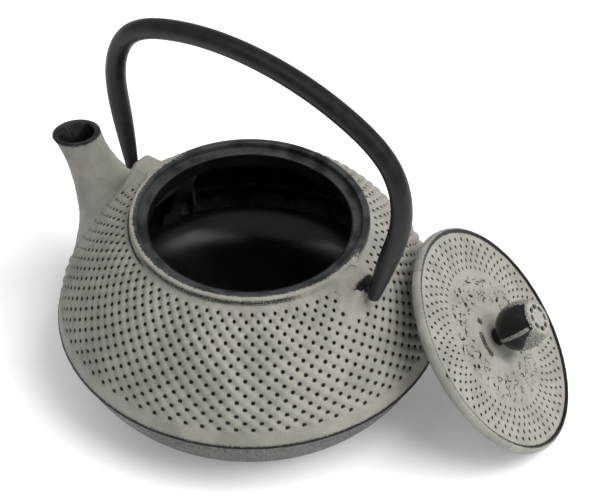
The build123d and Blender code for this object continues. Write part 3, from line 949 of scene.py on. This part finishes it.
pot_casting.data.materials.append(painted_iron("Painted pot iron", POT_STUDS, 0.60, BARE_IRON, 0.42))
lid_casting.data.materials.append(painted_iron("Painted lid iron", LID_STUDS, 0.64, BARE_IRON, 0.42))
knob_bud.data.materials.append(painted_iron("Painted knob iron", 1, 2.0, IRON_BLACK, 0.16))

# %% [markdown]
# ## Enamel, black bail and steel
# The enamel is a hard black glass with a faint ripple. The bail is stove-enamelled in
# satin black over a drawn bar. The pins are steel with a blackened turned surface.

# %% Dark finishes
def dark_finish(name, shade, light, rough_low, rough_high, scale, ripple, coat=0.0, own_place=True):
    """A dark coat whose tone and gloss vary softly over the surface."""
    made, tree, shader = material(name)
    if own_place:
        place = number(tree, "place", vector=True)
    else:
        sized = tree.nodes.new("ShaderNodeMapping")
        sized.inputs["Scale"].default_value = (1 / MM, 1 / MM, 1 / MM)
        tree.links.new(tree.nodes.new("ShaderNodeTexCoord").outputs["Object"], sized.inputs["Vector"])
        place = sized.outputs[0]
    cloud = noisy(tree, place, scale, detail=3.0)
    grain = use(tree, cast_grain, Place=place, Fine=0.5)
    tree.links.new(mixed(tree, ramp(tree, cloud, 0.35, 0.65), shade, light), shader.inputs["Base Color"])
    tree.links.new(ramp(tree, cloud, 0.3, 0.7, rough_low, rough_high), shader.inputs["Roughness"])
    shader.inputs["Coat Weight"].default_value = coat
    shader.inputs["Coat Roughness"].default_value = 0.08
    bumped(tree, shader, calc(tree, "MULTIPLY", grain["Height"], ripple), 1.0)
    return made, shader


enamel, enamel_shader = dark_finish("Black enamel", (0.004, 0.004, 0.005, 1), (0.007, 0.007, 0.008, 1),
                                    0.17, 0.22, 0.08, 0.02, coat=0.0)
enamel_coat.data.materials.append(enamel)
satin, satin_shader = dark_finish("Satin black", (0.006, 0.006, 0.007, 1), (0.011, 0.011, 0.012, 1),
                                  0.34, 0.46, 0.3, 0.06)
satin_shader.inputs["Specular IOR Level"].default_value = 0.24
bail_bar.data.materials.append(satin)
steel, steel_shader = dark_finish("Blackened steel", (0.02, 0.02, 0.022, 1), (0.06, 0.06, 0.062, 1),
                                  0.3, 0.5, 0.9, 0.05, own_place=False)
steel_shader.inputs["Metallic"].default_value = 0.85
for name in ("handle_pin_front", "handle_pin_spout", "knob_pin", "knob_washer"):
    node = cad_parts[name]
    node.data.materials.clear()
    node.data.materials.append(steel)
print("materials:", [m.name for m in bpy.data.materials])

# %% [markdown]
# ## Floor, light and camera
# The pot stands on a wide white sheet under large soft lights. The two window lights are soft boxes that
# show as pale windows in the enamel, so their places are chosen by looking at the gloss; the key light is kept out of
# the gloss.

# %% Floor
def plain_floor():
    """A wide white sheet under the pot."""
    bm = bmesh.new()
    bmesh.ops.create_grid(bm, x_segments=1, y_segments=1, size=4)
    mesh = bpy.data.meshes.new("floor")
    bm.to_mesh(mesh)
    bm.free()
    made = bpy.data.objects.new("floor", mesh)
    bpy.context.scene.collection.objects.link(made)
    paper, tree, shader = material("White paper")
    shader.inputs["Base Color"].default_value = (0.9, 0.9, 0.9, 1)
    shader.inputs["Roughness"].default_value = 0.9
    shader.inputs["Specular IOR Level"].default_value = 0.1
    shader.inputs["Emission Color"].default_value = (1, 1, 1, 1)
    shader.inputs["Emission Strength"].default_value = 0.17
    mesh.materials.append(paper)
    return made


floor = plain_floor()

# %% Camera
EYE = Vector((481.212, -590.149, 761.783)) * MM
LOOK = Vector((-0.45010391, 0.58241783, -0.67690172)).normalized()
CAMERA_RIGHT = Vector((0.78534972, 0.61896579, 0.01035267))
CAMERA_RIGHT = (CAMERA_RIGHT - LOOK * CAMERA_RIGHT.dot(LOOK)).normalized()
CAMERA_UP = CAMERA_RIGHT.cross(LOOK)
camera_data = bpy.data.cameras.new("camera")
camera_data.lens = 156
camera_data.sensor_width = 36
camera = bpy.data.objects.new("camera", camera_data)
camera.matrix_world = Matrix.Translation(EYE) @ Matrix((CAMERA_RIGHT, CAMERA_UP, -LOOK)).transposed().to_4x4()
bpy.context.scene.collection.objects.link(camera)
bpy.context.scene.camera = camera
bpy.context.scene.view_settings.view_transform = "Standard"

# %% Lights
ROOM_LIGHT = 0.36


def soft_box(name, place, size, power):
    """A rectangular area light that faces the pot."""
    data = bpy.data.lights.new(name, "AREA")
    data.shape = "RECTANGLE"
    data.size, data.size_y = size
    data.energy = power
    made = bpy.data.objects.new(name, data)
    made.location = place
    aim = Vector((0, 0, 0.05)) - Vector(place)
    made.rotation_euler = aim.to_track_quat("-Z", "Y").to_euler()
    bpy.context.scene.collection.objects.link(made)
    return made


key = soft_box("key", (1.00, 0.33, 1.47), (1.6, 1.6), 45)
key.visible_glossy = False
soft_box("window_left", (-0.36, -0.36, 1.15), (0.50, 0.80), 2.0)
soft_box("window_right", (0.52, 0.02, 1.15), (0.50, 0.80), 2.0)
world = bpy.data.worlds.new("white room")
world.use_nodes = True
room_nodes = world.node_tree
backdrop = room_nodes.nodes["Background"]
backdrop.inputs["Color"].default_value = (1, 1, 1, 1)
seen = room_nodes.nodes.new("ShaderNodeLightPath").outputs["Is Camera Ray"]
room_nodes.links.new(calc(room_nodes, "MULTIPLY_ADD", seen, 1.05 - ROOM_LIGHT, ROOM_LIGHT), backdrop.inputs["Strength"])
bpy.context.scene.world = world
print("camera at", [round(v, 3) for v in EYE])
